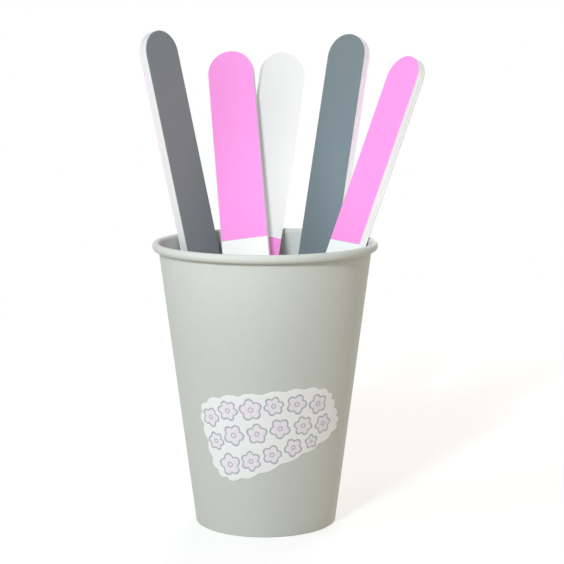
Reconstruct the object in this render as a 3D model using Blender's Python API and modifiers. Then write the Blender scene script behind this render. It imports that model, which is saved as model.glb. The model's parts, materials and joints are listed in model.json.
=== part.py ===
# Nail buffer boards standing in a flared paper cup.
#
# Each board is a laminate: a thin plastic core between two foam strips, a grey abrasive sheet
# over the whole of one face, and a pink and a white abrasive sheet, end to end, on the other.
# The cup is folded paper: a conical wall with a lapped side seam, a rolled rim, and a hem that
# grips the skirt of the floor. A die-cut sticker lies on the wall.
# Metres, +Z up. The sticker faces -Y, and the seam is at the back.

import math

import bmesh
import bpy
import numpy as np
from mathutils import Matrix

# Cup
CUP_HEIGHT = 0.114
RIM_RADIUS = 0.045
ROLL_WIDTH = 0.0027
ROLL_HEIGHT = 0.0034
BASE_RADIUS = 0.02835
PAPER = 0.0004
FLOOR_HEIGHT = 0.010
FLOOR_PAPER = 0.00045
FLOOR_BEND_RADIUS = 0.0008
SEAM_WIDTH = 0.008
LIP_ANGLE = -115

# Sticker
STICKER_LENGTH = 0.0525
STICKER_WIDTH = 0.031
STICKER_SCALLOP = 0.001
STICKER_PAPER = 0.00015
STICKER_RISE = 0.0446
STICKER_SIDE = 0.0022
STICKER_SLOPE = math.radians(14.5)
STICKER_SCALLOPS = 24
STICKER_SQUARENESS = 4.4
STICKER_TAPER_SHARE = 0.26

# Boards
BOARD_LENGTH = 0.190
BOARD_WIDTH = 0.01905
CORE_THICKNESS = 0.0005
FOAM_THICKNESS = 0.00125
SHEET_THICKNESS = 0.0003
SPLIT_FROM_TOP = 0.081
SHEET_JOINT = 0.0001

# Fits
CLEARANCE = 0.0003
BOARD_SPACING = 0.0004
GLUE_LINE = 0.00005

# Facets
ROUND_STEPS = 64
ROLL_STEPS = 12
FOLD_STEPS = 3
END_STEPS = 16
STICKER_STEPS = 192
MERGE = 0.00001

# Where the boards stand, left to right as seen from the front. The foot is a share of the
# floor's radius, and the pass is where the middle line goes by the rim, a share of its radius.
FOOT_SHARES = {
    "left": (-0.323, 0.735),
    "front": (0.000, -0.616),
    "middle": (-0.556, -0.015),
    "back": (0.321, 0.399),
    "right": (-0.012, -0.231),
}
PASS_SHARES = {
    "left": (-0.664, 0.619),
    "front": (-0.174, 0.394),
    "middle": (-0.044, 0.842),
    "back": (0.562, 0.712),
    "right": (0.778, 0.337),
}
TURNS = {
    "left": math.radians(51.3),
    "front": math.radians(-8.0),
    "middle": math.radians(16.4),
    "back": math.radians(-40.9),
    "right": math.radians(-57.0),
}
GREY_SIDE_FRONT = {"left", "back"}
WHITE_END_UP = {"middle"}
LEANING_ORDER = ("left", "back", "middle", "front", "right")
SETTLING_ROUNDS = 80
LEANING_HALVINGS = 20

# Colours, linear
CUP_GREY = (0.56, 0.60, 0.57)
STICKER_WHITE = (0.88, 0.88, 0.89)
PINK = (1.00, 0.36, 0.86)
WHITE = (0.86, 0.88, 0.87)
GREY = (0.17, 0.20, 0.20)
FOAM_WHITE = (0.86, 0.86, 0.86)
CORE_WHITE = (0.78, 0.79, 0.80)

ROLL_CENTRE_HEIGHT = CUP_HEIGHT - ROLL_HEIGHT / 2
ROLL_CENTRE_RADIUS = RIM_RADIUS - ROLL_WIDTH / 2
BOARD_THICKNESS = CORE_THICKNESS + 2 * (FOAM_THICKNESS + SHEET_THICKNESS + 2 * GLUE_LINE)


def clear_scene():
    for thing in list(bpy.data.objects):
        bpy.data.objects.remove(thing, do_unlink=True)


def collection(name):
    group = bpy.data.collections.new(name)
    bpy.context.scene.collection.children.link(group)
    return group


def material(name, colour, roughness):
    finish = bpy.data.materials.new(name)
    finish.use_nodes = True
    shader = finish.node_tree.nodes["Principled BSDF"]
    shader.inputs["Base Color"].default_value = (*colour, 1)
    shader.inputs["Roughness"].default_value = roughness
    shader.inputs["Metallic"].default_value = 0
    return finish


def wall_radius(height):
    """Outer face of the wall's cone, from the base to the middle of the rolled rim."""
    top = RIM_RADIUS - ROLL_WIDTH + PAPER
    return BASE_RADIUS + (top - BASE_RADIUS) * height / ROLL_CENTRE_HEIGHT


def arc(centre, radii, start, end, steps):
    """Points along an ellipse's arc, angles in degrees."""
    points = []
    for step in range(steps + 1):
        angle = math.radians(start + (end - start) * step / steps)
        points.append((centre[0] + radii[0] * math.cos(angle), centre[1] + radii[1] * math.sin(angle)))
    return points


def mesh_object(name, mesh, group, finish=None):
    thing = bpy.data.objects.new(name, mesh)
    group.objects.link(thing)
    if finish:
        mesh.materials.append(finish)
    return thing


def turned(name, profile, group, finish=None, closed=True):
    """A profile of radius and height turned about the cup's axis."""
    mesh = bpy.data.meshes.new(name)
    count = len(profile)
    edges = [(i, (i + 1) % count) for i in range(count if closed else count - 1)]
    mesh.from_pydata([(radius, 0, height) for radius, height in profile], edges, [])
    thing = mesh_object(name, mesh, group, finish)
    screw = thing.modifiers.new("Turn", "SCREW")
    screw.steps = screw.render_steps = ROUND_STEPS
    screw.use_merge_vertices = True
    screw.merge_threshold = MERGE
    screw.use_smooth_shade = False
    return thing


def boolean(thing, cutter, operation):
    cut = thing.modifiers.new(operation.title(), "BOOLEAN")
    cut.operation = operation
    cut.solver = "EXACT"
    cut.object = cutter


def hide_as_cutter(thing):
    thing.hide_render = True
    thing.display_type = "WIRE"


def at(height, depth):
    """A profile point some way inside the wall's outer face."""
    return wall_radius(height) - depth, height


def cup_wall(parts, cutters, finish):
    """One sheet of paper: rolled outwards at the rim, and folded inwards round the floor's skirt."""
    hem = 2 * PAPER + FLOOR_PAPER + 2 * GLUE_LINE
    hem_top = FLOOR_HEIGHT - FLOOR_PAPER - FLOOR_BEND_RADIUS - CLEARANCE
    roll_centre = (ROLL_CENTRE_RADIUS, ROLL_CENTRE_HEIGHT)
    roll_outside = (ROLL_WIDTH / 2, ROLL_HEIGHT / 2)
    roll_inside = (ROLL_WIDTH / 2 - PAPER, ROLL_HEIGHT / 2 - PAPER)
    fold = (PAPER, PAPER)
    profile = arc(roll_centre, roll_inside, LIP_ANGLE, 180, ROLL_STEPS)
    profile += arc(at(PAPER, PAPER), fold, 0, -90, FOLD_STEPS)
    profile += arc(at(PAPER, hem - PAPER), fold, -90, -180, FOLD_STEPS)
    profile += [at(hem_top, hem), at(hem_top, hem - PAPER), at(PAPER, hem - PAPER), at(PAPER, PAPER)]
    profile += arc(roll_centre, roll_outside, 180, LIP_ANGLE, ROLL_STEPS)
    wall = turned("cup_wall", profile, parts, finish)

    seam_top = CUP_HEIGHT - ROLL_HEIGHT - CLEARANCE
    lap_profile = [at(seam_top, -PAPER), at(PAPER, -PAPER), at(PAPER, PAPER / 2), at(seam_top, PAPER / 2)]
    lap = turned("seam_lap", lap_profile, cutters)
    bpy.ops.mesh.primitive_cube_add(size=1, location=(0, RIM_RADIUS, CUP_HEIGHT / 2))
    slab = bpy.context.object
    slab.name = "seam_width"
    slab.scale = (SEAM_WIDTH, 2 * RIM_RADIUS, 2 * CUP_HEIGHT)
    for owner in list(slab.users_collection):
        owner.objects.unlink(slab)
    cutters.objects.link(slab)
    boolean(lap, slab, "INTERSECT")
    boolean(wall, lap, "UNION")
    hide_as_cutter(lap)
    hide_as_cutter(slab)
    return wall


def cup_floor(parts, finish):
    """A disc with its edge turned down into the hem."""
    skirt_foot = PAPER + CLEARANCE
    outer_bend = FLOOR_BEND_RADIUS + FLOOR_PAPER
    bend_height = FLOOR_HEIGHT - outer_bend
    inset = PAPER + GLUE_LINE
    centre = at(bend_height, inset + outer_bend)
    profile = [(0, FLOOR_HEIGHT)]
    profile += arc(centre, (outer_bend, outer_bend), 90, 0, FOLD_STEPS)
    profile += [at(skirt_foot, inset), at(skirt_foot, inset + FLOOR_PAPER)]
    profile += arc(centre, (FLOOR_BEND_RADIUS, FLOOR_BEND_RADIUS), 0, 90, FOLD_STEPS)
    profile += [(0, FLOOR_HEIGHT - FLOOR_PAPER)]
    return turned("cup_floor", profile, parts, finish, closed=False)


def sticker_outline():
    """A rounded oblong with a scalloped edge, sloping up and narrowing to the right."""
    points = []
    for step in range(STICKER_STEPS):
        angle = 2 * math.pi * step / STICKER_STEPS
        across, up = math.cos(angle), math.sin(angle)
        reach = (abs(across) ** STICKER_SQUARENESS + abs(up) ** STICKER_SQUARENESS) ** (-1 / STICKER_SQUARENESS)
        wave = STICKER_SCALLOPS * angle / 2 - math.sin(4 * angle)
        scallop = STICKER_SCALLOP * (abs(math.sin(wave)) - 1)
        along = reach * across * STICKER_LENGTH / 2 + scallop * across
        high = reach * up * STICKER_WIDTH / 2 + scallop * up
        high *= 1 - STICKER_TAPER_SHARE * reach * across
        points.append((
            STICKER_SIDE + along * math.cos(STICKER_SLOPE) - high * math.sin(STICKER_SLOPE),
            STICKER_RISE + along * math.sin(STICKER_SLOPE) + high * math.cos(STICKER_SLOPE),
        ))
    return points


def flat_curve(name, outline, thickness):
    """A flat closed outline with a thickness, lying in its own XY plane."""
    curve = bpy.data.curves.new(name, "CURVE")
    curve.dimensions = "2D"
    curve.fill_mode = "BOTH"
    curve.extrude = thickness / 2
    spline = curve.splines.new("POLY")
    spline.points.add(len(outline) - 1)
    for point, (across, along) in zip(spline.points, outline):
        point.co = (across, along, 0, 1)
    spline.use_cyclic_u = True
    return curve


def mesh_from_curve(curve_object, group):
    """The welded mesh of a curve, in its place."""
    bpy.context.view_layer.update()
    evaluated = curve_object.evaluated_get(bpy.context.evaluated_depsgraph_get())
    mesh = bpy.data.meshes.new_from_object(evaluated)
    shape = bmesh.new()
    shape.from_mesh(mesh)
    bmesh.ops.remove_doubles(shape, verts=shape.verts, dist=MERGE)
    bmesh.ops.recalc_face_normals(shape, faces=shape.faces)
    shape.to_mesh(mesh)
    shape.free()
    solid = bpy.data.objects.new(curve_object.name, mesh)
    solid.matrix_world = curve_object.matrix_world
    group.objects.link(solid)
    bpy.data.objects.remove(curve_object, do_unlink=True)
    return solid


def cup_sticker(parts, cutters, finish):
    """A skin over the wall's cone, cut to the outline seen from the front."""
    face = -GLUE_LINE - STICKER_PAPER
    low, high = STICKER_RISE - STICKER_LENGTH / 2, STICKER_RISE + STICKER_LENGTH / 2
    skin_profile = [at(high, face), at(low, face), at(low, -GLUE_LINE), at(high, -GLUE_LINE)]
    skin = turned("sticker", skin_profile, parts, finish)
    outline = bpy.data.objects.new("sticker_die", flat_curve("sticker_die", sticker_outline(), RIM_RADIUS))
    cutters.objects.link(outline)
    outline.matrix_world = Matrix.Translation((0, -RIM_RADIUS / 2, 0)) @ Matrix.Rotation(math.pi / 2, 4, "X")
    die = mesh_from_curve(outline, cutters)
    boolean(skin, die, "INTERSECT")
    hide_as_cutter(die)
    return skin


def unit(vector):
    return vector / np.linalg.norm(vector)


class Board:
    """Where a board stands: its foot on the floor, where it passes the rim, and its turn."""

    def __init__(self, name):
        floor_radius = wall_radius(FLOOR_HEIGHT) - PAPER
        rim_radius = RIM_RADIUS - ROLL_WIDTH
        self.name = name
        self.turn = TURNS[name]
        self.foot = np.array(FOOT_SHARES[name]) * floor_radius
        self.rim = np.array(PASS_SHARES[name]) * rim_radius

    def axes(self):
        """Directions across, through and along the board, and the middle of its rounded foot."""
        low = np.array([*self.foot, FLOOR_HEIGHT + BOARD_WIDTH / 2])
        along = unit(np.array([*self.rim, ROLL_CENTRE_HEIGHT]) - low)
        level = unit(np.cross([0, 1, 0], along))
        away = np.cross(along, level)
        across = math.cos(self.turn) * level + math.sin(self.turn) * away
        through = np.cross(along, across)
        reach = BOARD_WIDTH / 2 * math.hypot(across[2], along[2]) + BOARD_THICKNESS / 2 * abs(through[2])
        low[2] = FLOOR_HEIGHT + CLEARANCE + reach
        return across, through, along, low

    def box(self):
        """The space that the board fills and passes through when it rises by the cup's height."""
        across, through, along, low = self.axes()
        height = BOARD_LENGTH - BOARD_WIDTH / 2 + CUP_HEIGHT
        middle = low + along * (height - BOARD_WIDTH / 2) / 2
        half = np.array([BOARD_WIDTH, BOARD_THICKNESS, height + BOARD_WIDTH / 2]) / 2
        return middle, np.array([across, through, along]), half

    def rim_gap(self):
        """Clear space between the board and the rolled rim, less than zero if they cross."""
        middle, axes, half = self.box()
        angles = np.radians(np.arange(0, 360, 2))
        ring = np.stack([
            ROLL_CENTRE_RADIUS * np.cos(angles),
            ROLL_CENTRE_RADIUS * np.sin(angles),
            np.full_like(angles, ROLL_CENTRE_HEIGHT),
        ], axis=1)
        outside = np.abs((ring - middle) @ axes.T) - half
        apart = np.linalg.norm(np.maximum(outside, 0), axis=1)
        across_ring = np.hypot(*self.rim) > ROLL_CENTRE_RADIUS
        sunk = outside.max(axis=1).min()
        gap = apart.min() if sunk > 0 and not across_ring else min(sunk, 0)
        return gap - ROLL_WIDTH / 2

    def wall_overshoot(self):
        """How far the foot's farthest corner is past the wall, and the way back."""
        across, through, along, low = self.axes()
        room = wall_radius(low[2]) - PAPER - CLEARANCE
        worst, way = 0, np.zeros(2)
        for side in (-1, 1):
            for face in (-1, 1):
                corner = low + side * across * BOARD_WIDTH / 2 + face * through * BOARD_THICKNESS / 2
                radius = math.hypot(corner[0], corner[1])
                if radius - room > worst:
                    worst, way = radius - room, corner[:2] / radius
        return worst, way


def separation(one, other):
    """Widest gap between two long boxes along any axis that can part them, and that axis."""
    middle_a, axes_a, half_a = one
    middle_b, axes_b, half_b = other
    between = middle_b - middle_a
    tries = [*axes_a, *axes_b]
    tries += [np.cross(a, b) for a in axes_a for b in axes_b]
    best, way = -math.inf, None
    for axis in tries:
        length = np.linalg.norm(axis)
        if length < MERGE:
            continue
        axis = axis / length
        gap = abs(between @ axis) - half_a @ abs(axes_a @ axis) - half_b @ abs(axes_b @ axis)
        if gap > best:
            best, way = gap, axis * math.copysign(1, between @ axis)
    return best, way


def settle(boards):
    """Push the boards apart and off the wall and rim until each has its clearance."""
    for _ in range(SETTLING_ROUNDS):
        moved = False
        for index, one in enumerate(boards):
            for other in boards[index + 1:]:
                gap, way = separation(one.box(), other.box())
                if gap < BOARD_SPACING:
                    push = way[:2] * (BOARD_SPACING - gap) / 2
                    one.foot -= push
                    one.rim -= push
                    other.foot += push
                    other.rim += push
                    moved = True
        for board in boards:
            overshoot, way = board.wall_overshoot()
            board.foot -= way * overshoot
            short = CLEARANCE - board.rim_gap()
            if short > 0:
                board.rim -= board.rim / np.hypot(*board.rim) * short
            moved = moved or overshoot > 0 or short > 0
        if not moved:
            break


def lean(board, others):
    """Tip a board outwards until it is a clearance away from the rim or another board."""
    start = board.rim.copy()

    def clear(share):
        board.rim = start * share
        gaps = [separation(board.box(), other.box())[0] for other in others]
        return min([board.rim_gap(), *gaps]) >= CLEARANCE

    inside, outside = 1.0, ROLL_CENTRE_RADIUS / np.hypot(*start)
    if not clear(inside):
        return
    for _ in range(LEANING_HALVINGS):
        share = (inside + outside) / 2
        if clear(share):
            inside = share
        else:
            outside = share
    clear(inside)


def board_outline(low, high):
    """The part of a board's outline between two distances from its foot."""
    radius = BOARD_WIDTH / 2
    points = []
    if low <= 0:
        points += arc((0, radius), (radius, radius), 180, 360, END_STEPS)
    else:
        points += [(-radius, low), (radius, low)]
    if high >= BOARD_LENGTH:
        points += arc((0, BOARD_LENGTH - radius), (radius, radius), 0, 180, END_STEPS)
    else:
        points += [(radius, high), (-radius, high)]
    return points


def board_layers(finishes):
    """The flat layers of a board, shared by all: core, foam, and the three sheets."""
    split = BOARD_LENGTH - SPLIT_FROM_TOP
    whole = board_outline(0, BOARD_LENGTH)
    upper = board_outline(split + SHEET_JOINT / 2, BOARD_LENGTH)
    lower = board_outline(0, split - SHEET_JOINT / 2)
    layers = {
        "core": flat_curve("core", whole, CORE_THICKNESS),
        "foam": flat_curve("foam", whole, FOAM_THICKNESS),
        "grey_sheet": flat_curve("grey_sheet", whole, SHEET_THICKNESS),
    }
    for colour in ("pink", "white"):
        layers[colour + "_upper"] = flat_curve(colour + "_upper", upper, SHEET_THICKNESS)
        layers[colour + "_lower"] = flat_curve(colour + "_lower", lower, SHEET_THICKNESS)
    for name, curve in layers.items():
        curve.materials.append(finishes[name.split("_")[0]])
    return layers


def laminate(board, layers, parts, root):
    """One board: its layers stacked on an empty at its foot, along whose Y the board slides out."""
    across, through, along, low = board.axes()
    if board.name in GREY_SIDE_FRONT:
        across, through = -across, -through
    holder = bpy.data.objects.new(board.name + "_board", None)
    parts.objects.link(holder)
    holder.parent = root
    foot = low - along * BOARD_WIDTH / 2
    holder.matrix_world = Matrix((
        (across[0], along[0], -through[0], foot[0]),
        (across[1], along[1], -through[1], foot[1]),
        (across[2], along[2], -through[2], foot[2]),
        (0, 0, 0, 1),
    ))
    foam = CORE_THICKNESS / 2 + GLUE_LINE + FOAM_THICKNESS / 2
    sheet = BOARD_THICKNESS / 2 - SHEET_THICKNESS / 2
    upper, lower = ("white", "pink") if board.name in WHITE_END_UP else ("pink", "white")
    stack = [
        ("core", "core", 0),
        ("split_side_foam", "foam", foam),
        ("grey_side_foam", "foam", -foam),
        ("grey_sheet", "grey_sheet", -sheet),
        (upper + "_sheet", upper + "_upper", sheet),
        (lower + "_sheet", lower + "_lower", sheet),
    ]
    for part, layer, height in stack:
        piece = bpy.data.objects.new(f"{board.name}_{part}", layers[layer])
        parts.objects.link(piece)
        piece.parent = holder
        piece.location = (0, 0, height)


def centre_on_origin(parts, root):
    """Move the whole set so that the middle of its outer box stands over the origin."""
    bpy.context.view_layer.update()
    graph = bpy.context.evaluated_depsgraph_get()
    corners = []
    for thing in parts.objects:
        if thing.type == "EMPTY":
            continue
        evaluated = thing.evaluated_get(graph)
        mesh = evaluated.to_mesh()
        corners += [thing.matrix_world @ vertex.co for vertex in mesh.vertices]
        evaluated.to_mesh_clear()
    for axis in (0, 1):
        values = [corner[axis] for corner in corners]
        root.location[axis] -= (min(values) + max(values)) / 2


def build():
    clear_scene()
    parts = collection("nail_buffer_set")
    cutters = collection("cutters")
    root = bpy.data.objects.new("set", None)
    parts.objects.link(root)

    paper = material("cup_paper", CUP_GREY, 0.8)
    wall = cup_wall(parts, cutters, paper)
    floor = cup_floor(parts, paper)
    sticker = cup_sticker(parts, cutters, material("sticker_vinyl", STICKER_WHITE, 0.35))
    for thing in (wall, floor, sticker, *cutters.objects):
        thing.parent = root

    finishes = {
        "core": material("core_plastic", CORE_WHITE, 0.5),
        "foam": material("foam", FOAM_WHITE, 0.9),
        "grey": material("grey_abrasive", GREY, 0.85),
        "pink": material("pink_abrasive", PINK, 0.8),
        "white": material("white_abrasive", WHITE, 0.75),
    }
    layers = board_layers(finishes)
    boards = {name: Board(name) for name in FOOT_SHARES}
    settle(list(boards.values()))
    for name in LEANING_ORDER:
        lean(boards[name], [other for other in boards.values() if other.name != name])
    for board in boards.values():
        laminate(board, layers, parts, root)
    centre_on_origin(parts, root)


build()
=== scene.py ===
import json
import math

import bmesh
import bpy
import numpy as np
from mathutils import Matrix, Vector


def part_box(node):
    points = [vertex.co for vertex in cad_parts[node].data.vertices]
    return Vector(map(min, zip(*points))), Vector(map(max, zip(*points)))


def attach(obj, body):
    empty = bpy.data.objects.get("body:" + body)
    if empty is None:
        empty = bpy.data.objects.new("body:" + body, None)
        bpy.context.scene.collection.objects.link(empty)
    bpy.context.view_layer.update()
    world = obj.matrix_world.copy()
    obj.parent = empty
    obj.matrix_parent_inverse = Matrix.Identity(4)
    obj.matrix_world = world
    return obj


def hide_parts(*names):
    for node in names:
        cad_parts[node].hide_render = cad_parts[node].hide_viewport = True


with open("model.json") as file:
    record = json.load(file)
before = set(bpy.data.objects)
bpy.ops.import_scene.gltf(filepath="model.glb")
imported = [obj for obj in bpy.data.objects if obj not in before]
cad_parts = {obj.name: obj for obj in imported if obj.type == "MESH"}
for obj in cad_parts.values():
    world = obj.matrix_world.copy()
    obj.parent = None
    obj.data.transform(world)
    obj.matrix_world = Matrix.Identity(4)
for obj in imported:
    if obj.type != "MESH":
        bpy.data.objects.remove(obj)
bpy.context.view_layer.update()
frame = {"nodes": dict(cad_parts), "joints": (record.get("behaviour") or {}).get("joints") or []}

# Cup wall. One sheet of coated paper is wound into a cone and glued in a lap at the back.
# Its top edge is curled outwards into the rim, and its foot is folded inwards to hold the
# floor's skirt. The cup stands on that fold.
CUP_HEIGHT = 0.114
RIM_RADIUS = 0.045
ROLL_WIDTH = 0.0027
ROLL_HEIGHT = 0.0034
CURL_END = -115
BASE_RADIUS = 0.02835
PAPER = 0.0004
HEM = 0.00135
HEM_TOP = 0.00845
LAP_WIDTH = 0.008
LAP_FADE = 0.009
LAP_EDGE = 0.00006
LAP_FOOT = 0.0009
INNER_LAP_FOOT = 0.0105
LAP_TOP = CUP_HEIGHT - ROLL_HEIGHT - 0.0002
LAP_RUNOUT = 0.0004
CUP_STEPS = 288
ROLL_STEPS = 28
FOLD_STEPS = 6
FIBRE = 0.0005
MOTTLE = 0.0025
FIBRE_RELIEF = 0.00003

roll_middle = (RIM_RADIUS - ROLL_WIDTH / 2, CUP_HEIGHT - ROLL_HEIGHT / 2)
taper = (RIM_RADIUS - ROLL_WIDTH + PAPER - BASE_RADIUS) / roll_middle[1]
cup_axis = (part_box("cup_floor")[0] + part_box("cup_floor")[1]) / 2


def wall_radius(height):
    """Outer face of the wall's cone."""
    return BASE_RADIUS + taper * height


def round_cup(radius, angle, height):
    """A point at an angle round the cup's axis."""
    return (cup_axis.x + radius * math.cos(angle), cup_axis.y + radius * math.sin(angle), height)


def arc(middle, radii, start, end, steps):
    """Points along part of an ellipse, angles in degrees."""
    angles = [math.radians(start + (end - start) * step / steps) for step in range(steps + 1)]
    return [(middle[0] + radii[0] * math.cos(a), middle[1] + radii[1] * math.sin(a)) for a in angles]


def skin(name, rings, material, looped=False, sharp=32):
    """A closed piece from rings of points. Each ring is joined to the next one. The first and last
    are joined too where it is looped, and are capped otherwise. Edges that turn by the sharp angle
    or more, in degrees, stay crisp."""
    shape = bmesh.new()
    rows = [[shape.verts.new(point) for point in ring] for ring in rings]
    for near, far in zip(rows, rows[1:] + rows[:1] if looped else rows[1:]):
        for corners in zip(near, near[1:] + near[:1], far[1:] + far[:1], far):
            shape.faces.new(corners).smooth = True
    if not looped:
        shape.faces.new(rows[0][::-1])
        shape.faces.new(rows[-1])
    bmesh.ops.recalc_face_normals(shape, faces=shape.faces)
    for edge in shape.edges:
        edge.smooth = edge.calc_face_angle(0) < math.radians(sharp)
    mesh = bpy.data.meshes.new(name)
    shape.to_mesh(mesh)
    shape.free()
    mesh.materials.append(material)
    piece = bpy.data.objects.new(name, mesh)
    bpy.context.scene.collection.objects.link(piece)
    return piece


class Shade:
    """A socket of a material. Arithmetic on it adds Math nodes."""

    def __init__(self, tree, socket=None):
        self.tree, self.socket = tree, socket

    def node(self, kind, sockets, output=0, **settings):
        """Any other node: its settings, and the values or links of its sockets."""
        made = self.tree.nodes.new(kind)
        for name, value in settings.items():
            setattr(made, name, value)
        for place, value in sockets.items():
            socket = made.inputs[place]
            if isinstance(value, Shade):
                self.tree.links.new(value.socket, socket)
            else:
                socket.default_value = (*value, 1) if socket.type == "RGBA" else value
        return Shade(self.tree, made.outputs[output] if made.outputs else None)

    def math(self, operation, *others, **settings):
        """A Math node on this value and any others after it."""
        values = dict(enumerate((self, *others)))
        return self.node("ShaderNodeMath", values, operation=operation, **settings)

    def __add__(self, other):
        return self.math("ADD", other)

    def __sub__(self, other):
        return self.math("SUBTRACT", other)

    def __rsub__(self, other):
        return self.node("ShaderNodeMath", {0: other, 1: self}, operation="SUBTRACT")

    def __mul__(self, other):
        return self.math("MULTIPLY", other)

    def __truediv__(self, other):
        return self.math("DIVIDE", other)

    __radd__, __rmul__ = __add__, __mul__

    def clamped(self):
        """Held between 0 and 1."""
        return self.math("ADD", 0, use_clamp=True)

    def axes(self):
        """A place's X, Y and Z."""
        return [self.node("ShaderNodeSeparateXYZ", {0: self}, output=axis) for axis in range(3)]

    def patches(self, size, detail=2):
        """Soft random patches of about this size in metres, from 0 to 1."""
        return self.node("ShaderNodeTexNoise", {"Vector": self, "Scale": 1 / size, "Detail": detail})

    def grains(self, size):
        """Distance from the nearest of the points strewn this size in metres apart."""
        return self.node("ShaderNodeTexVoronoi", {"Vector": self, "Scale": 1 / size})

    def mix(self, one, other):
        """A colour between two, by this value."""
        return self.node("ShaderNodeMix", {0: self, 6: one, 7: other}, output=2, data_type="RGBA")

    def bump(self, height):
        """A normal that this value raises by up to a height in metres."""
        return self.node("ShaderNodeBump", {"Height": self, "Distance": height})


def new_material(name):
    """An empty material, and the place of each point on the piece to start its maths from."""
    material = bpy.data.materials.new(name)
    material.use_nodes = True
    material.node_tree.nodes.clear()
    return material, Shade(material.node_tree).node("ShaderNodeTexCoord", {}, output="Object")


def finish_with(place, sockets):
    """Ends a material in one shader."""
    shader = place.node("ShaderNodeBsdfPrincipled", sockets)
    place.node("ShaderNodeOutputMaterial", {"Surface": shader})


def screen(*levels):
    """A linear colour from its levels on a screen, 0 to 255."""
    return tuple(((level / 255 + 0.055) / 1.055) ** 2.4 for level in levels)


def paper_finish(name):
    """Coated cup paper: even and matt outside, a little glossier inside, with faint fibres."""
    material, place = new_material(name)
    x, y, height = place.axes()
    across, back = x - cup_axis.x, y - cup_axis.y
    radius = (across * across + back * back).math("SQRT")
    inside = ((wall_radius(height) - PAPER / 2 - radius) / PAPER).clamped()
    mottle = place.patches(MOTTLE, 3)
    fibre = place.patches(FIBRE, 4)
    outer = mottle.mix(screen(193, 198, 193), screen(200, 204, 199))
    finish_with(place, {
        "Base Color": inside.mix(outer, screen(204, 208, 206)),
        "Roughness": 0.62 - 0.14 * inside + 0.1 * (fibre - 0.5),
        "Normal": (fibre + 0.5 * mottle).bump(FIBRE_RELIEF),
    })
    return material


def lap_rise(angle, inner):
    """How far the lap lifts the wall's outer or inner face. The sheet's outer end stops in a step.
    Past its inner end, the paper over it settles back to the plain wall."""
    along = (math.pi / 2 - angle) * wall_radius(CUP_HEIGHT / 2) + LAP_WIDTH / 2
    if along <= (LAP_WIDTH if inner else 0):
        return 0
    fade = min(max((along - LAP_WIDTH) / LAP_FADE, 0), 1)
    return PAPER * (1 - fade * fade * (3 - 2 * fade))


def cup_wall_rings():
    """The wall's section at each angle. Each of the lap's two ends has an angle on both sides of
    its step."""
    half = LAP_WIDTH / 2 / wall_radius(CUP_HEIGHT / 2)
    step = LAP_EDGE / wall_radius(CUP_HEIGHT / 2)
    angles = [2 * math.pi * k / CUP_STEPS - math.pi for k in range(CUP_STEPS)]
    for end in (math.pi / 2 - half, math.pi / 2 + half):
        angles = [angle for angle in angles if abs(angle - end) > 4 * step] + [end - step, end + step]
    outside = (ROLL_WIDTH / 2, ROLL_HEIGHT / 2)
    within = (ROLL_WIDTH / 2 - PAPER, ROLL_HEIGHT / 2 - PAPER)
    fold = (PAPER, PAPER)
    foot, hem_top = wall_radius(PAPER), wall_radius(HEM_TOP)
    rings = []
    for angle in sorted(angles):
        outer, inner = lap_rise(angle, False), lap_rise(angle, True)
        section = arc(roll_middle, within, CURL_END, 180, ROLL_STEPS)
        section += [(wall_radius(LAP_TOP + LAP_RUNOUT), LAP_TOP + LAP_RUNOUT)]
        section += [(wall_radius(height) + outer, height) for height in (LAP_TOP, LAP_FOOT)]
        section += arc((foot - PAPER, PAPER), fold, 0, -90, FOLD_STEPS)
        section += arc((foot - HEM + PAPER, PAPER), fold, -90, -180, FOLD_STEPS)
        section += [(hem_top - HEM, HEM_TOP), (hem_top - HEM + PAPER, HEM_TOP)]
        section += [(foot - HEM + PAPER, PAPER), (foot - PAPER, PAPER)]
        section += [(wall_radius(LAP_FOOT) - PAPER, LAP_FOOT)]
        section += [(wall_radius(height) - PAPER + inner, height) for height in (INNER_LAP_FOOT, LAP_TOP)]
        section += arc(roll_middle, outside, 180, CURL_END, ROLL_STEPS)
        rings.append([round_cup(radius, angle, height) for radius, height in section])
    return rings


wall = skin("paper_wall", cup_wall_rings(), paper_finish("cup_paper_wall"), looped=True)
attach(wall, "cup")
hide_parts("cup_wall")

# Cup floor. A disc of the same paper is pressed into the wall's foot with its edge turned
# down, and the wall's hem is folded over that edge and glued.
FLOOR_HEIGHT = 0.010
FLOOR_PAPER = 0.00045
FLOOR_BEND = 0.0008
BEND_STEPS = 8
SKIRT_FOOT = 0.0007
GLUE = 0.00005


def floor_rings():
    """Circles down the floor's upper face, its skirt, and back up its lower face."""
    inset = PAPER + GLUE
    bend = FLOOR_HEIGHT - FLOOR_BEND - FLOOR_PAPER
    middle = (wall_radius(bend) - inset - FLOOR_BEND - FLOOR_PAPER, bend)
    section = arc(middle, (FLOOR_BEND + FLOOR_PAPER,) * 2, 90, 0, BEND_STEPS)
    section += [(wall_radius(SKIRT_FOOT) - inset, SKIRT_FOOT)]
    section += [(wall_radius(SKIRT_FOOT) - inset - FLOOR_PAPER, SKIRT_FOOT)]
    section += arc(middle, (FLOOR_BEND,) * 2, 0, 90, BEND_STEPS)
    angles = [2 * math.pi * k / CUP_STEPS for k in range(CUP_STEPS)]
    return [[round_cup(radius, angle, height) for angle in angles] for radius, height in section]


disc = skin("paper_floor", floor_rings(), paper_finish("cup_paper_floor"))
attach(disc, "cup")
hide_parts("cup_floor")

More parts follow.
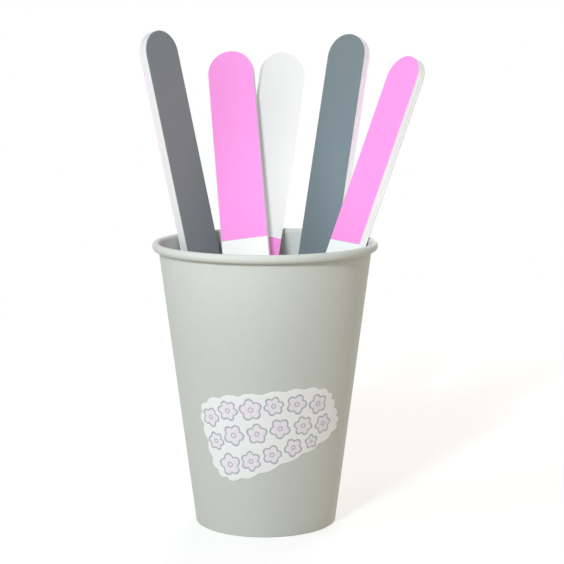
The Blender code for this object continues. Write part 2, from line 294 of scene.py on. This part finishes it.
# Sticker. A die-cut label of satin white vinyl lies on the wall, sloping up to the right. It is
# printed with loose puffy blossoms in pale lilac, each with a soft grey outline.
STICKER_LENGTH = 0.0525
STICKER_WIDTH = 0.031
STICKER_SCALLOP = 0.001
STICKER_SCALLOPS = 24
STICKER_SQUARENESS = 4.4
STICKER_TAPER = 0.26
STICKER_SIDE = 0.0022
STICKER_RISE = 0.0446
STICKER_SLOPE = math.radians(14.5)
STICKER_BACK = 0.00003
STICKER_FACE = 0.0002
STICKER_STEPS = 576
STICKER_SHARP = 50
FACE_RINGS = 40
BACK_RINGS = 12
BLOSSOMS = (  # across, up, size in mm; petals; turn
    (-23.0, 9.8, 4.0, 5, 2.3),
    (-23.8, 0.2, 3.8, 6, 2.7),
    (-20.4, -10.0, 4.7, 5, 0.9),
    (-14.6, 11.2, 4.2, 6, 2.6),
    (-15.2, 1.2, 4.4, 5, 2.4),
    (-11.2, -10.4, 4.2, 6, 0.4),
    (-5.6, 9.8, 4.5, 5, 0.9),
    (-5.8, -0.2, 4.2, 5, 1.3),
    (-2.2, -9.9, 4.0, 5, 2.0),
    (3.2, 9.1, 3.9, 6, 1.5),
    (3.4, -0.4, 4.2, 5, 3.0),
    (6.8, -9.6, 3.9, 5, 0.1),
    (11.8, 7.2, 4.1, 5, 2.4),
    (12.6, -2.2, 4.0, 6, 2.9),
    (14.8, -9.9, 3.0, 5, 1.1),
    (20.4, 4.2, 4.1, 5, 0.6),
    (21.4, -4.8, 4.0, 6, 1.8),
)
PETAL_ROOT, PETAL_SWELL, EYE = 0.76, 0.28, 0.26  # shares of a blossom's size
FLUFF = 0.35  # mm, as are the next five
PRINT_EDGE = 0.12
OUTLINE, OUTLINE_FADE = 0.62, 0.3
EYE_LINE, EYE_FADE = 0.38, 0.2


def sticker_ring(share, lift):
    """The sticker's outline drawn in to a share, laid on the wall's cone at a height over it."""
    ring = []
    for step in range(STICKER_STEPS):
        angle = 2 * math.pi * step / STICKER_STEPS
        across, up = math.cos(angle), math.sin(angle)
        corner = abs(across) ** STICKER_SQUARENESS + abs(up) ** STICKER_SQUARENESS
        reach = corner ** (-1 / STICKER_SQUARENESS)
        wave = STICKER_SCALLOPS * angle / 2 - math.sin(4 * angle)
        scallop = STICKER_SCALLOP * (abs(math.sin(wave)) - 1)
        along = share * across * (reach * STICKER_LENGTH / 2 + scallop)
        high = share * up * (reach * STICKER_WIDTH / 2 + scallop)
        high *= 1 - STICKER_TAPER * reach * across
        x = STICKER_SIDE + along * math.cos(STICKER_SLOPE) - high * math.sin(STICKER_SLOPE)
        z = STICKER_RISE + along * math.sin(STICKER_SLOPE) + high * math.cos(STICKER_SLOPE)
        y = -math.sqrt((wall_radius(z) + lift) ** 2 - x * x)
        ring.append((cup_axis.x + x, cup_axis.y + y, z))
    return ring


def vinyl_finish(name):
    """White vinyl printed with the blossoms, each a grey outline round a lilac body."""
    material, place = new_material(name)
    x, y, height = place.axes()
    turn = (x - cup_axis.x).math("ARCTAN2", cup_axis.y - y)
    side = 1000 * (turn * wall_radius(STICKER_RISE) - STICKER_SIDE)
    up = 1000 * (height - STICKER_RISE)
    flat_x = side * math.cos(STICKER_SLOPE) + up * math.sin(STICKER_SLOPE)
    flat_y = up * math.cos(STICKER_SLOPE) - side * math.sin(STICKER_SLOPE)
    fluff = FLUFF * (place.patches(0.0011, 1) - 0.5)
    body, heart = 0, 0
    for across, high, size, petals, start in BLOSSOMS:
        off_x, off_y = flat_x - across, flat_y - high
        away = (off_x * off_x + off_y * off_y).math("SQRT")
        bearing = off_y.math("ARCTAN2", off_x) * (petals / 2) + start
        petal = bearing.math("SINE").math("ABSOLUTE")
        edge = size * (PETAL_ROOT + PETAL_SWELL * petal) + fluff - away
        body = edge.math("MAXIMUM", body)
        heart = (EYE * size - away).math("MAXIMUM", heart)
    fill = (body / PRINT_EDGE).clamped()
    ink = 1 - ((body - OUTLINE) / OUTLINE_FADE).clamped()
    ring = (heart / PRINT_EDGE).clamped() - ((heart - EYE_LINE) / EYE_FADE).clamped()
    lilac = place.patches(0.0007, 2).mix(screen(228, 224, 232), screen(238, 230, 239))
    printed = (ink + ring).clamped().mix(lilac, screen(168, 177, 184))
    finish_with(place, {
        "Base Color": fill.mix(screen(236, 238, 239), printed),
        "Roughness": 0.36 + 0.12 * fill,
        "Normal": place.patches(0.0009).bump(0.00001),
    })
    return material


# The face from its middle outwards, its rounded edge, and the back from its edge inwards.
sticker_rings = [
    sticker_ring(0.02 + 0.97 * ring / FACE_RINGS, STICKER_FACE) for ring in range(FACE_RINGS + 1)
]
sticker_rings += [sticker_ring(0.997, STICKER_FACE - 0.00003), sticker_ring(1, STICKER_FACE - 0.00008)]
sticker_rings += [
    sticker_ring(1 - 0.98 * ring / BACK_RINGS, STICKER_BACK) for ring in range(BACK_RINGS + 1)
]
label = skin("vinyl_label", sticker_rings, vinyl_finish("label_vinyl"), sharp=STICKER_SHARP)
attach(label, "cup")
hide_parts("sticker")

# Board cores. Each of the five boards is stiffened by a thin strip of white plastic with
# rounded ends. It lies a little back from the cut edge of the foam on both of its faces.
BOARD_LENGTH = 0.190
BOARD_WIDTH = 0.01905
BOARDS = ("left", "front", "middle", "back", "right")
END_STEPS = 44
CORE_FACE = 0.000275
CORE_FLAT = 0.0002
CORE_INSET = 0.00007
CORE_CORNER = 0.0001

strips = []


def board_place(name):
    """A board's own axes as a matrix: X across it, Y along it from its foot, Z to its split face."""
    corners = {
        part: np.array([vertex.co for vertex in frame["nodes"][f"{name}_{part}"].data.vertices])
        for part in ("core", "split_side_foam", "grey_side_foam")
    }
    joint = next(joint for joint in frame["joints"] if joint["child"] == name + "_board")
    along = Vector(joint["axis"]).normalized()
    through = Vector(corners["split_side_foam"].mean(axis=0) - corners["grey_side_foam"].mean(axis=0))
    through = (through - through.dot(along) * along).normalized()
    axes = np.array([along.cross(through), along, through])
    spans = corners["core"] @ axes.T
    middle = (spans.min(axis=0) + spans.max(axis=0)) / 2
    middle[1] = spans[:, 1].min()
    place = Matrix(axes.T.tolist()).to_4x4()
    place.translation = Vector(middle @ axes)
    return place


def strip_ring(inset, height, low=0, high=BOARD_LENGTH):
    """A level outline of a board, drawn in by an inset, from one distance along it to another."""
    half = BOARD_WIDTH / 2
    radii = (half - inset,) * 2
    if low > 0:
        ring = [(inset - half, low + inset), (half - inset, low + inset)]
    else:
        ring = arc((0, half), radii, 180, 360, END_STEPS)
    if high < BOARD_LENGTH:
        ring += [(half - inset, high - inset), (inset - half, high - inset)]
    else:
        ring += arc((0, BOARD_LENGTH - half), radii, 0, 180, END_STEPS)
    return [(x, y, height) for x, y in ring]


def add_strip(name, part, node, rings, material):
    """One layer of a board, set on the board's axes."""
    piece = skin(f"{name}_{part}", rings, material)
    strips.append(piece)
    piece.matrix_world = board_place(name)
    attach(piece, name + "_board")
    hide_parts(f"{name}_{node}")
    return piece


def plastic_finish(name):
    """Rolled white plastic with faint streaks."""
    material, place = new_material(name)
    streak = place.patches(0.0015)
    finish_with(place, {
        "Base Color": streak.mix(screen(226, 228, 229), screen(234, 236, 236)),
        "Roughness": 0.42 + 0.1 * streak,
        "Normal": streak.bump(0.00001),
    })
    return material


core_plastic = plastic_finish("core_plastic_strip")
core_rings = [
    strip_ring(CORE_CORNER, -CORE_FACE), strip_ring(CORE_INSET, -CORE_FLAT),
    strip_ring(CORE_INSET, CORE_FLAT), strip_ring(CORE_CORNER, CORE_FACE),
]
for name in BOARDS:
    add_strip(name, "plastic_core", "core", core_rings, core_plastic)

# Foam strips. A strip of dense white foam is glued to each face of a core. The die that cuts
# the board leaves its edge slightly hollow between the glued faces, and shows its fine cells.
FOAM_FACE = 0.001575
FOAM_INSET = 0.00002
FOAM_HOLLOW = 0.00009
FOAM_STEPS = 8
FOAM_CELL = 0.00022


def foam_finish(name):
    """Closed-cell foam: matt, with fine pits."""
    material, place = new_material(name)
    cells = place.grains(FOAM_CELL)
    mottle = place.patches(0.003)
    finish_with(place, {
        "Base Color": (0.6 * mottle + 0.4 * cells).mix(screen(241, 240, 241), screen(231, 231, 232)),
        "Roughness": 0.9 - 0.08 * cells,
        "Normal": cells.bump(0.00005),
    })
    return material


def foam_rings(side):
    """Outlines of a strip from its core out to its sheet, on one side of the board."""
    rings = []
    for step in range(FOAM_STEPS + 1):
        share = step / FOAM_STEPS
        inset = FOAM_INSET + FOAM_HOLLOW * math.sin(math.pi * share)
        rings.append(strip_ring(inset, side * (CORE_FACE + share * (FOAM_FACE - CORE_FACE))))
    return rings


white_foam = foam_finish("white_foam")
for name in BOARDS:
    for part, node, side in (("split_foam", "split_side_foam", 1), ("grey_foam", "grey_side_foam", -1)):
        strip = add_strip(name, part, node, foam_rings(side), white_foam)

# Grey sheets. Coarse grit on a paper backing covers the whole of one face. The die rounds the
# sheet's rim a little all round, and the cut shows the paler backing under the grit.
BOARD_FACE = 0.0019
SHEET_ROUND = 0.0001
SHEET_STEPS = 5
GRIT_COAT = 0.00016
COAT_EDGE = 0.00003
PAINTED_SHADING_START = 0.105
PAINTED_SHADING_LENGTH = 0.08
# Grey at a board's upper end and at its lower end, in the cup. The lower end is darker: painted shade.
GREY = (screen(120, 132, 137), screen(114, 131, 137))
# The left board's grey is a lighter copy, painted light for the light it lacks, and lighter still at its
# lower end.
LEFT_GREY_LIGHTENED = (screen(127, 135, 136), screen(136, 141, 147))


def sheet_rings(side, low=0, high=BOARD_LENGTH):
    """A sheet's rings from its glued face out to its grit face, whose edge is rounded."""
    middle = (SHEET_ROUND, BOARD_FACE - SHEET_ROUND)
    turned = arc(middle, (SHEET_ROUND,) * 2, 180, 90, SHEET_STEPS)
    return [strip_ring(inset, side * height, low, high) for inset, height in [(0, FOAM_FACE), *turned]]


def grit_finish(name, upper, lower, backing, grain, depth):
    """Grit on paper, with painted light and shade along the board. Its grains catch the light."""
    material, place = new_material(name)
    chance = place.node("ShaderNodeObjectInfo", {}, output="Random")
    moved = place.node("ShaderNodeVectorMath", {0: place, 1: chance}, operation="ADD")
    grains = moved.grains(grain)
    fine = moved.patches(grain * 1.6, 3)
    cloudy = moved.patches(0.006, 3)
    _, along, through = place.axes()
    # Painted light and shade: the colour goes from the lower end's to the upper end's along the board.
    painted_shading = ((along - PAINTED_SHADING_START) / PAINTED_SHADING_LENGTH + 0.25 * (cloudy - 0.5)).clamped()
    dark = tuple(0.86 * level for level in lower)
    speckled = (0.55 * (fine - 0.25)).clamped().mix(painted_shading.mix(lower, upper), dark)
    coated = ((through.math("ABSOLUTE") - (BOARD_FACE - GRIT_COAT)) / COAT_EDGE).clamped()
    finish_with(place, {
        "Base Color": coated.mix(backing, speckled),
        "Roughness": 0.92 - 0.2 * (grains * 1.2).clamped(),
        "Normal": (grains + 0.6 * fine).bump(depth),
    })
    return material


# The left board takes the lighter grey: painted light.
for name in BOARDS:
    tones = LEFT_GREY_LIGHTENED if name == "left" else GREY
    coarse = grit_finish(name + "_grey_grit", *tones, backing=screen(205, 207, 206),
                         grain=0.00028, depth=0.00006)
    add_strip(name, "grey_grit", "grey_sheet", sheet_rings(-1), coarse)

# Pink and white sheets. The other face has two finer sheets laid end to end: pink for smoothing
# and white for buffing. On the middle board the white one is uppermost.
SPLIT = 0.109
JOINT = 0.0001

# Each finer sheet's lower colour is a little darker than its upper one: painted shade.
finer = {
    "pink": grit_finish("pink_grit", screen(252, 158, 235), screen(252, 154, 232),
                        backing=screen(250, 214, 244), grain=0.00020, depth=0.00003),
    "white": grit_finish("white_grit", screen(245, 248, 247), screen(244, 247, 246),
                         backing=screen(240, 241, 241), grain=0.00014, depth=0.00002),
}
for name in BOARDS:
    upper_end, lower_end = ("white", "pink") if name == "middle" else ("pink", "white")
    for colour, low, high in (
        (upper_end, SPLIT + JOINT / 2, BOARD_LENGTH),
        (lower_end, 0, SPLIT - JOINT / 2),
    ):
        add_strip(name, colour + "_grit", colour + "_sheet",
                  sheet_rings(1, low, high), finer[colour])

# Studio. The set stands on a white sweep with no visible edge. The cup and the boards have a main
# lamp each from the front left, kept off the other by flags, and weaker fills. The camera looks
# slightly down on the cup.
SWEEP_SPREAD = 12
SWEEP_DROP = 0.00002
SWEEP_GLOW = 0.545
CAMERA_BACK = 0.68715
CAMERA_HEIGHT = 0.19994
PITCH, YAW, ROLL = 0.148279, 0.0097586, -0.001051
SENSOR, LENS = 36, 110.63


def shows_white(place):
    """1 for what the camera or a glossy surface sees, and 0 for light on its way to the set."""
    seen = place.node("ShaderNodeLightPath", {}, output="Is Camera Ray")
    glossy = place.node("ShaderNodeLightPath", {}, output="Is Glossy Ray")
    return (seen + glossy).clamped()


def sweep_finish():
    """White with the object's shadow kept, plain white from 0.5 m away, and pale to the object."""
    material, place = new_material("white_sweep")
    pale = place.node("ShaderNodeBsdfDiffuse", {"Color": (0.66, 0.60, 0.53)})
    white = place.node("ShaderNodeBsdfDiffuse", {"Color": (0.5, 0.5, 0.5)})
    glow = place.node("ShaderNodeEmission", {"Color": (1, 1, 1), "Strength": SWEEP_GLOW})
    lit = place.node("ShaderNodeAddShader", {0: white, 1: glow})
    beyond = place.node("ShaderNodeEmission", {"Color": (1, 1, 1), "Strength": 1.0})
    distance = place.node("ShaderNodeVectorMath", {0: place}, "Value", operation="LENGTH")
    faded = place.node("ShaderNodeMixShader", {0: (4 * distance - 1).clamped(), 1: lit, 2: beyond})
    both = place.node("ShaderNodeMixShader", {0: shows_white(place), 1: pale, 2: faded})
    place.node("ShaderNodeOutputMaterial", {"Surface": both})
    return material


ground = bpy.data.meshes.new("sweep")
ground.from_pydata(
    [(x * SWEEP_SPREAD, y * SWEEP_SPREAD, -SWEEP_DROP) for x, y in ((-1, -1), (1, -1), (1, 1), (-1, 1))],
    [], [(0, 1, 2, 3)],
)
ground.materials.append(sweep_finish())
sweep = bpy.data.objects.new("sweep", ground)
bpy.context.scene.collection.objects.link(sweep)

world = bpy.data.worlds.new("studio_air")
world.use_nodes = True
world.node_tree.nodes.clear()
bpy.context.scene.world = world
air = Shade(world.node_tree)
ambient = air.node("ShaderNodeBackground", {"Color": (0.50, 0.48, 0.455), "Strength": 1.0})
backdrop = air.node("ShaderNodeBackground", {"Color": (1, 1, 1), "Strength": 1.0})
around = air.node("ShaderNodeMixShader", {0: shows_white(air), 1: ambient, 2: backdrop})
air.node("ShaderNodeOutputWorld", {"Surface": around})


def lit_pieces(name, pieces):
    """The pieces that a lamp with flags in front of it reaches."""
    reach = bpy.data.collections.new(name)
    for piece in pieces:
        reach.objects.link(piece)
    return reach


def add_lamp(name, kind, place, aim, power, colour, reach=None, **settings):
    """A lamp in the cup's own frame, turned to the point that it lights."""
    lamp = bpy.data.lights.new(name, kind)
    lamp.energy, lamp.color = power, colour
    for setting, value in settings.items():
        setattr(lamp, setting, value)
    holder = bpy.data.objects.new(name, lamp)
    holder.location = cup_axis + Vector(place)
    holder.rotation_euler = Vector(np.subtract(aim, place)).to_track_quat("-Z", "Y").to_euler()
    holder.light_linking.receiver_collection = reach
    bpy.context.scene.collection.objects.link(holder)


cup_pieces = lit_pieces("lit_cup", (wall, disc, label, sweep))
board_pieces = lit_pieces("lit_boards", strips)
add_lamp("side_key", "AREA", place=(-0.95, -0.35, 0.45), aim=(0, 0, 0.09), power=2.0,
         colour=(0.72, 0.92, 1.0), size=0.40)
add_lamp("cup_key", "AREA", place=(-0.34, -0.86, 0.66), aim=(0, 0, 0.07), power=6.0,
         colour=(0.885, 0.945, 1.0), reach=cup_pieces, size=0.15)
add_lamp("mouth_fill", "SPOT", place=(-0.25, -0.66, 0.48), aim=(0.020, 0.03, 0.105), power=7.4,
         colour=(0.95, 0.97, 1.0), reach=cup_pieces,
         spot_size=math.radians(9.5), spot_blend=0.9, shadow_soft_size=0.02)
add_lamp("board_key", "AREA", place=(-0.10, -0.97, 0.40), aim=(0, 0, 0.14), power=5.4,
         colour=(0.93, 0.97, 1.0), reach=board_pieces, size=0.08)
add_lamp("right_fill", "SPOT", place=(-0.05, -0.68, 0.22), aim=(0.055, 0.03, 0.150), power=4.3,
         colour=(0.88, 0.95, 1.0), reach=board_pieces,
         spot_size=math.radians(10.5), spot_blend=0.7, shadow_soft_size=0.03)
add_lamp("low_fill", "SPOT", place=(0.06, -0.70, 0.30), aim=(0.022, 0.03, 0.108), power=4.3,
         colour=(1.0, 0.90, 0.84), reach=board_pieces,
         spot_size=math.radians(7), spot_blend=0.8, shadow_soft_size=0.02)
add_lamp("edge_fill", "AREA", place=(0.94, 0.30, 0.2), aim=(0, 0, 0.09), power=0.5,
         colour=(1.0, 0.78, 0.32), reach=cup_pieces, size=0.3)
add_lamp("rear_fill", "AREA", place=(0.3, 1.1, 0.7), aim=(0, 0, 0.09), power=7.5,
         colour=(1.0, 0.97, 0.94), size=0.8)

forward = Vector((math.sin(YAW) * math.cos(PITCH), math.cos(YAW) * math.cos(PITCH), -math.sin(PITCH)))
level = Vector((math.cos(YAW), -math.sin(YAW), 0))
upright = level.cross(forward)
right = math.cos(ROLL) * level + math.sin(ROLL) * upright
top = math.cos(ROLL) * upright - math.sin(ROLL) * level
lens = bpy.data.cameras.new("camera")
lens.sensor_width, lens.lens = SENSOR, LENS
lens.clip_start, lens.clip_end = 0.01, 100
camera = bpy.data.objects.new("camera", lens)
camera.matrix_world = Matrix((right, top, -forward)).transposed().to_4x4()
camera.location = (cup_axis.x, cup_axis.y - CAMERA_BACK, CAMERA_HEIGHT)
bpy.context.scene.collection.objects.link(camera)
bpy.context.scene.camera = camera
bpy.context.scene.view_settings.view_transform = "Standard"
